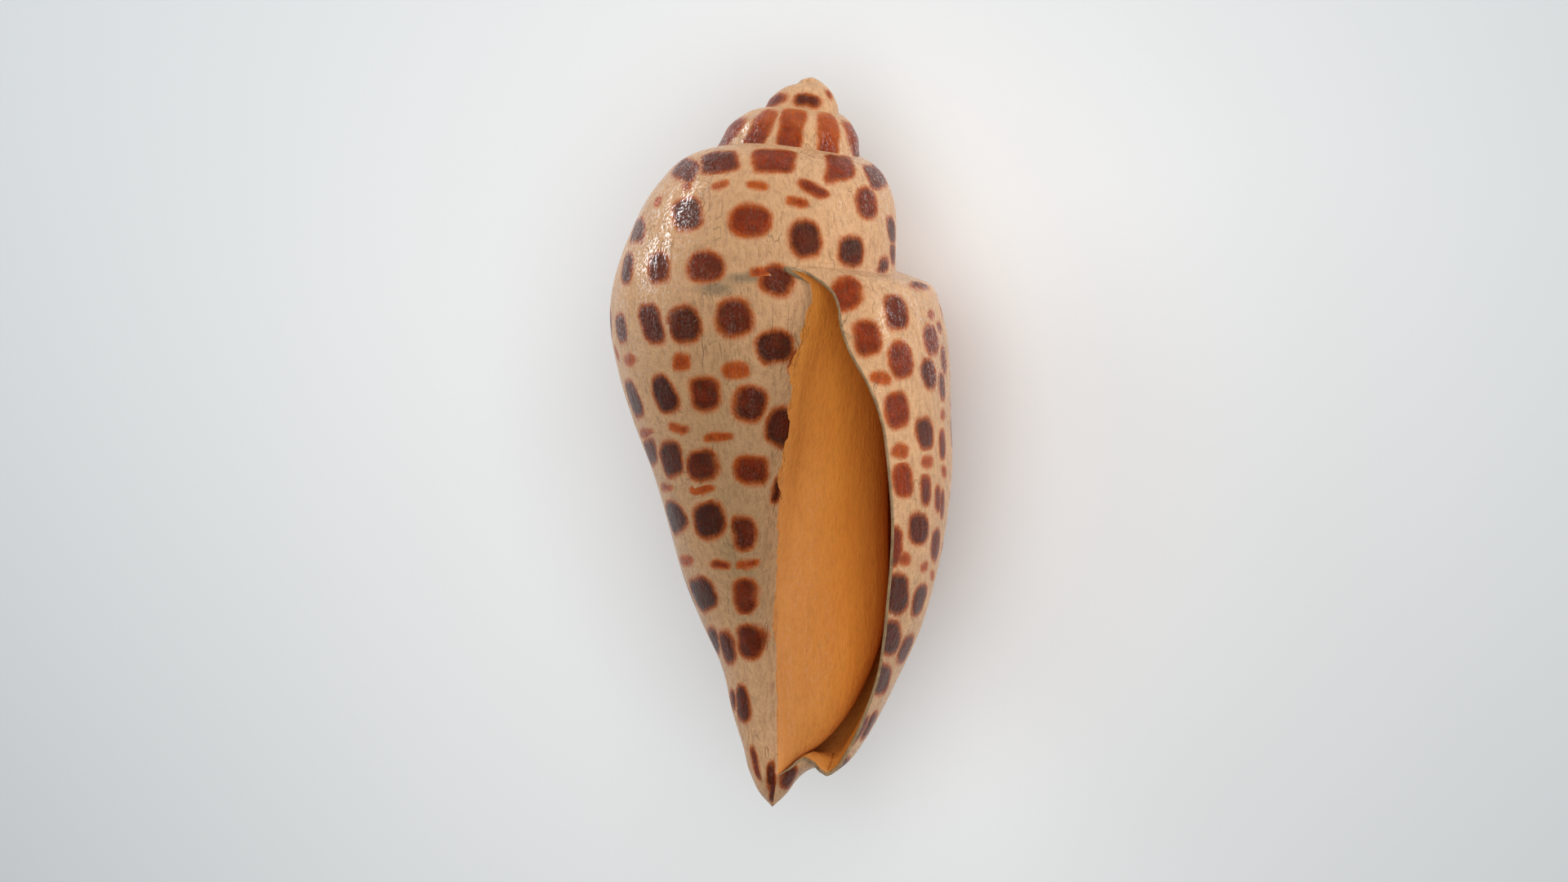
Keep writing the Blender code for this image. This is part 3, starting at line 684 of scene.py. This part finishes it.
def noise(nodes, links, vector, scale, detail=3.0, rough=0.55):
    node = nodes.new("ShaderNodeTexNoise")
    node.inputs["Scale"].default_value = scale
    node.inputs["Detail"].default_value = detail
    node.inputs["Roughness"].default_value = rough
    links.new(vector, node.inputs["Vector"])
    return node.outputs["Fac"]


def mixed(nodes, links, factor, a, b, blend="MIX"):
    node = nodes.new("ShaderNodeMix")
    node.data_type = "RGBA"
    node.blend_type = blend
    for name, value in (("Factor", factor), ("A", a), ("B", b)):
        sockets = [s for s in node.inputs if s.name == name and (s.type == "RGBA") == (name != "Factor")]
        if isinstance(value, (int, float)):
            sockets[0].default_value = value
        elif isinstance(value, tuple):
            sockets[0].default_value = value + (1,)
        else:
            links.new(value, sockets[0])
    return [s for s in node.outputs if s.type == "RGBA"][0]


shell_look = bpy.data.materials.new("shell_wall_glaze")
shell_look.use_nodes = True
nodes, links = shell_look.node_tree.nodes, shell_look.node_tree.links
shader = nodes["Principled BSDF"]
place_on = nodes.new("ShaderNodeTexCoord").outputs["Object"]


def attribute(name, output="Fac"):
    """A value that the mesh keeps at its corners."""
    node = nodes.new("ShaderNodeAttribute")
    node.attribute_name = name
    return node.outputs[output]


def calc(operation, a, b=None, c=None, clamp=False):
    return math(nodes, links, operation, a, b, c, clamp)


def grain(scale, detail=3.0, rough=0.55, lengths=(1, 1, 1), turn=0.0):
    """Noise on the shell, drawn out by the lengths and turned in the table's plane."""
    node = nodes.new("ShaderNodeMapping")
    node.vector_type = "POINT"
    node.inputs["Rotation"].default_value = (0, 0, np.radians(turn))
    node.inputs["Scale"].default_value = lengths
    links.new(place_on, node.inputs["Vector"])
    return noise(nodes, links, node.outputs["Vector"], scale, detail, rough)


def between(value, low, high):
    """0 at low and 1 at high, straight between."""
    node = nodes.new("ShaderNodeMapRange")
    node.inputs["From Min"].default_value = low
    node.inputs["From Max"].default_value = high
    links.new(value, node.inputs["Value"])
    return node.outputs["Result"]


def shade(value, stops):
    """Colours read from stops by a value."""
    node = ramp(nodes, stops)
    links.new(value, node.inputs["Fac"])
    return node.outputs["Color"]


def around(point, reach):
    """1 at a point of the shell, 0 beyond the reach from it."""
    middle = rest_turn @ Vector(point) * MM + Vector(REST_AT) * MM
    offset = nodes.new("ShaderNodeVectorMath")
    offset.operation = "SUBTRACT"
    offset.inputs[1].default_value = middle
    links.new(place_on, offset.inputs[0])
    scaled = nodes.new("ShaderNodeVectorMath")
    scaled.operation = "MULTIPLY"
    scaled.inputs[1].default_value = [1 / (r * MM) for r in reach]
    links.new(offset.outputs["Vector"], scaled.inputs[0])
    length = nodes.new("ShaderNodeVectorMath")
    length.operation = "LENGTH"
    links.new(scaled.outputs["Vector"], length.inputs[0])
    return calc("SUBTRACT", 1.0, length.outputs["Value"], clamp=True)


GROOVE_PAINTED_SHADE = (0.24, 0.185, 0.09)
SUTURE_PAINTED_SHADOW = (0.19, 0.145, 0.09)
FLANK_PAINTED_SHADE = (0.37, 0.215, 0.100)
SPOT_RIM = (0.44, 0.095, 0.014)
GLAZE_LEFT = (0.64, 0.258, 0.088)
GLAZE_LIP_SIDE_PAINTED_LIGHT = (0.72, 0.262, 0.040)
CREASE_PAINTED_SHADE = (0.10, 0.055, 0.025)
RAGGED_BELOW = 29.0
inner_layer, lip_rim = attribute("inner_layer"), attribute("lip_rim")
broad = grain(55.0, 3.0)
mottle = grain(420.0, 5.0, 0.65)
fine = grain(2400.0, 3.0, 0.65)
bark = grain(1900.0, 4.0, 0.62, (1.0, 0.34, 1.0))
streaks = grain(650.0, 4.0, 0.6, (1.0, 0.10, 1.0))
scratch = grain(900.0, 3.0, 0.6, (1.0, 0.07, 1.0), 24.0)
cracks = grain(520.0, 2.0, 0.5, (1.0, 0.22, 1.0))
cracks = calc("MULTIPLY", calc("ABSOLUTE", calc("SUBTRACT", cracks, 0.5)), 75.0)
cracks = calc("SUBTRACT", 1.0, cracks, clamp=True)
cracks = calc("MULTIPLY", cracks, between(grain(160.0, 2.0), 0.46, 0.62))
bark_here = between(broad, 0.30, 0.62)

# Tan ground: drifts of olive and pink and fine mottling, with painted shade along the groove, below the
# suture and over the lower left flank.
ground = shade(broad, (
    (0.28, (0.54, 0.305, 0.150)),
    (0.50, (0.62, 0.350, 0.178)),
    (0.72, (0.66, 0.385, 0.205)),
))
ground = mixed(nodes, links, 0.14, ground, mottle, "OVERLAY")
ground = mixed(nodes, links, 0.10, ground, streaks, "OVERLAY")
ground = mixed(nodes, links, 0.12, ground, bark, "OVERLAY")
# Painted shade: a patchy olive darkening along the groove low on the left of the last whorl.
groove_shade = calc("MULTIPLY", around((-5.6, 33.0, 12.0), (5.0, 15.0, 12.0)), between(mottle, 0.25, 0.65))
ground = mixed(nodes, links, calc("MULTIPLY", groove_shade, 1.2, clamp=True), ground, GROOVE_PAINTED_SHADE)
# Painted shadow: two soft darker patches below the suture of the last whorl.
for point, reach in (((-8.0, 70.4, 18.0), (3.6, 1.3, 9.0)), ((-4.4, 71.7, 20.0), (4.4, 1.0, 9.0))):
    suture_shadow = calc("MULTIPLY", around(point, reach), 1.5, clamp=True)
    ground = mixed(nodes, links, suture_shadow, ground, SUTURE_PAINTED_SHADOW)
# Painted shade: the lower left flank is painted a darker tan.
low_left_shade = around((-8.0, 46.0, 18.0), (24.0, 52.0, 34.0))
ground = mixed(nodes, links, calc("MULTIPLY", low_left_shade, 0.72, clamp=True), ground, FLANK_PAINTED_SHADE)

# Spots: each has its own middle and half sizes, a wavering edge, an orange rim and a dark brown heart.
spot_split = nodes.new("ShaderNodeSeparateXYZ")
links.new(attribute("spot_place", "Vector"), spot_split.inputs[0])
half_split = nodes.new("ShaderNodeSeparateXYZ")
links.new(attribute("spot_shape", "Vector"), half_split.inputs[0])
half_x, half_y, square = half_split.outputs
waver_x, waver_y = grain(300.0, 1.0), grain(280.0, 1.0, 0.5, turn=50.0)
spot_x = calc("ADD", spot_split.outputs[0], calc("MULTIPLY_ADD", waver_x, 1.1, -0.55))
spot_y = calc("ADD", spot_split.outputs[1], calc("MULTIPLY_ADD", waver_y, 1.1, -0.55))
far_x = calc("POWER", calc("DIVIDE", calc("ABSOLUTE", spot_x), half_x), square)
far_y = calc("POWER", calc("DIVIDE", calc("ABSOLUTE", spot_y), half_y), square)
size = calc("MAXIMUM", calc("POWER", calc("ADD", far_x, far_y), calc("DIVIDE", 1.0, square)), 0.02)
radius = calc("SQRT", calc("ADD", calc("MULTIPLY", spot_x, spot_x), calc("MULTIPLY", spot_y, spot_y)))
inside_by = calc("MULTIPLY", radius, calc("SUBTRACT", calc("DIVIDE", 1.0, size), 1.0))
inside_by = calc("ADD", inside_by, calc("MULTIPLY_ADD", fine, 0.5, -0.13))
inside_by = calc("ADD", inside_by, calc("MULTIPLY_ADD", bark, 0.7, -0.35))
tone = calc("ADD", spot_split.outputs[2], calc("MULTIPLY_ADD", mottle, 0.8, -0.42))
heart = shade(tone, (
    (0.0, (0.044, 0.008, 0.004)),
    (0.3, (0.105, 0.012, 0.003)),
    (0.6, (0.245, 0.026, 0.002)),
    (1.0, (0.470, 0.095, 0.010)),
))
heart = mixed(nodes, links, 0.35, heart, bark, "OVERLAY")
spot = mixed(nodes, links, between(inside_by, -0.05, 0.85), SPOT_RIM, heart)
outside = mixed(nodes, links, between(inside_by, -0.36, 0.30), ground, spot)

# The inner glaze: orange, deeper and a little brighter towards the lip's side, painted light that makes up
# for the shade under the lip, with a wavering edge on the mouth's other side.
across_mouth = nodes.new("ShaderNodeSeparateXYZ")
links.new(place_on, across_mouth.inputs[0])
across_mouth = between(across_mouth.outputs[0], -0.005, 0.011)
inside = mixed(nodes, links, across_mouth, GLAZE_LEFT, GLAZE_LIP_SIDE_PAINTED_LIGHT)
inside = mixed(nodes, links, 0.10, inside, mottle, "OVERLAY")
inside = mixed(nodes, links, 0.10, inside, streaks, "OVERLAY")
growth_uv = nodes.new("ShaderNodeUVMap")
growth_uv.uv_map = "growth_map"
growth_split = nodes.new("ShaderNodeSeparateXYZ")
links.new(growth_uv.outputs["UV"], growth_split.inputs[0])
past_edge = calc("SUBTRACT", growth_split.outputs[0], MOUTH_EDGE)
ragged = calc("LESS_THAN", past_edge, calc("MULTIPLY_ADD", grain(170.0, 3.0), 6.5, -2.6))
ragged = calc("MULTIPLY", ragged, calc("GREATER_THAN", growth_split.outputs[1], RAGGED_BELOW))
glazed = calc("MAXIMUM", inner_layer, ragged)
colour = mixed(nodes, links, glazed, outside, inside)
rim_colour = shade(mottle, ((0.3, (0.15, 0.11, 0.06)), (0.7, (0.40, 0.27, 0.14))))
colour = mixed(nodes, links, calc("MULTIPLY", lip_rim, 0.85), colour, rim_colour)

# Relief: bark-like wrinkles, short cracks, scratches and fine grain, all shallower on the inner glaze.
height = calc("MULTIPLY", calc("MULTIPLY", bark, 0.50), bark_here)
height = calc("MULTIPLY_ADD", streaks, 0.20, height)
height = calc("MULTIPLY_ADD", scratch, 0.18, height)
height = calc("MULTIPLY_ADD", mottle, 0.22, height)
height = calc("MULTIPLY_ADD", fine, 0.15, height)
dents = calc("MULTIPLY", cracks, calc("SUBTRACT", 1.0, inner_layer))
height = calc("MULTIPLY_ADD", dents, -0.12, height)
height = calc("MULTIPLY", height, calc("MULTIPLY_ADD", inner_layer, -0.6, 1.0))
bump = nodes.new("ShaderNodeBump")
bump.inputs["Distance"].default_value = 0.001
bump.inputs["Strength"].default_value = 1.0
links.new(height, bump.inputs["Height"])
links.new(bump.outputs["Normal"], shader.inputs["Normal"])
# Painted shade: the colour darkens in the low parts of the bark wrinkles and along the cracks, half as much
# on the inner glaze.
low = calc("MULTIPLY", calc("SUBTRACT", 1.0, between(bark, 0.30, 0.52)), 0.28)
low = calc("MAXIMUM", low, calc("MULTIPLY", dents, 0.32))
low = calc("MULTIPLY", low, calc("MULTIPLY_ADD", inner_layer, -0.5, 1.0))
colour = mixed(nodes, links, low, colour, CREASE_PAINTED_SHADE)
links.new(colour, shader.inputs["Base Color"])
gloss = calc("MULTIPLY_ADD", mottle, 0.34, 0.08)
gloss = calc("MULTIPLY_ADD", inner_layer, 0.10, gloss)
links.new(gloss, shader.inputs["Roughness"])
kept = around((-17.0, 79.0, 7.0), (13.0, 25.0, 22.0))
for point, reach in (
    ((-8.0, 92.5, 4.0), (8.0, 7.0, 12.0)),
    ((20.0, 66.0, 6.0), (9.0, 15.0, 16.0)),
    ((15.0, 85.0, 2.0), (8.0, 13.0, 12.0)),
):
    kept = calc("MAXIMUM", kept, around(point, reach))
kept = calc("MULTIPLY_ADD", kept, 2.4, 0.10, clamp=True)
flecks = between(grain(4200.0, 2.0, 0.6, (1.0, 0.45, 1.0)), 0.52, 0.58)
flecks = calc("MULTIPLY", flecks, between(scratch, 0.40, 0.54))
links.new(calc("MULTIPLY", flecks, kept), shader.inputs["Coat Weight"])
shader.inputs["Coat Roughness"].default_value = 0.33
shader.inputs["Coat IOR"].default_value = 2.5
shader.inputs["Specular IOR Level"].default_value = 0.20
shader.inputs["Specular Tint"].default_value = (1.0, 0.52, 0.34, 1)
shell_mesh.materials.append(shell_look)
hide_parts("shell")
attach(shell, "root")

# --- The table, the lights and the camera ----------------------------------------------------------------
# A wide pale sheet of matt board lies under the shell, its colour painted paler in the middle and greyer
# towards the edges as a painted fall-off of light. Soft boxes stand low at its left, at its right and beyond
# its apex, and a broad soft light hangs over it.

table_bm = bmesh.new()
bmesh.ops.create_grid(table_bm, x_segments=1, y_segments=1, size=3.0)
table_mesh = bpy.data.meshes.new("table")
table_bm.to_mesh(table_mesh)
table_bm.free()
table = bpy.data.objects.new("table", table_mesh)
bpy.context.scene.collection.objects.link(table)
board = bpy.data.materials.new("pale_board_painted_falloff")
board.use_nodes = True
nodes, links = board.node_tree.nodes, board.node_tree.links
board_shader = nodes["Principled BSDF"]
board_shader.inputs["Roughness"].default_value = 0.7
board_shader.inputs["Specular IOR Level"].default_value = 0.2
span = nodes.new("ShaderNodeVectorMath")
span.operation = "LENGTH"
links.new(nodes.new("ShaderNodeTexCoord").outputs["Object"], span.inputs[0])
# Painted fall-off of light: the board is painted paler in the middle and greyer towards the edges.
painted_falloff = ramp(nodes, ((0.0, (0.90, 0.91, 0.91)), (0.35, (0.86, 0.88, 0.88)), (1.0, (0.60, 0.63, 0.64))))
links.new(math(nodes, links, "MULTIPLY", span.outputs["Value"], 6.5, clamp=True), painted_falloff.inputs["Fac"])
links.new(painted_falloff.outputs["Color"], board_shader.inputs["Base Color"])
table_mesh.materials.append(board)


def soft_box(name, position, target, width, height, power):
    """A rectangular light at a position, turned to a target."""
    light = bpy.data.lights.new(name, "AREA")
    light.shape = "RECTANGLE"
    light.size = width
    light.size_y = height
    light.energy = power
    lamp = bpy.data.objects.new(name, light)
    lamp.location = position
    lamp.rotation_euler = (Vector(target) - Vector(position)).to_track_quat("-Z", "Y").to_euler()
    bpy.context.scene.collection.objects.link(lamp)


soft_box("left_box", (-0.36, 0.23, 0.10), (-0.01, 0.03, 0.02), 0.26, 0.12, 1.0)
soft_box("right_box", (0.42, 0.22, 0.03), (0.02, 0.02, 0.02), 0.24, 0.08, 1.2)
soft_box("apex_box", (0.10, 0.40, 0.10), (0.01, 0.04, 0.02), 0.16, 0.06, 0.25)
soft_box("overhead", (0.30, 0.05, 0.95), (0, 0, 0), 1.2, 1.2, 7.6)

world = bpy.data.worlds.new("studio")
bpy.context.scene.world = world
world.use_nodes = True
world.node_tree.nodes["Background"].inputs["Color"].default_value = (0.97, 0.98, 1.0, 1)
world.node_tree.nodes["Background"].inputs["Strength"].default_value = 0.28

LENS = 96.2
SENSOR_WIDTH = 36.0
camera_data = bpy.data.cameras.new("camera")
camera_data.lens = LENS
camera_data.sensor_width = SENSOR_WIDTH
camera = bpy.data.objects.new("camera", camera_data)
camera.matrix_world = Matrix.Translation(
    rest_turn @ Vector(VIEW_FROM) * MM + Vector(REST_AT) * MM
) @ rest_turn.to_4x4()
bpy.context.scene.collection.objects.link(camera)
bpy.context.scene.camera = camera
bpy.context.scene.view_settings.view_transform = "Standard"
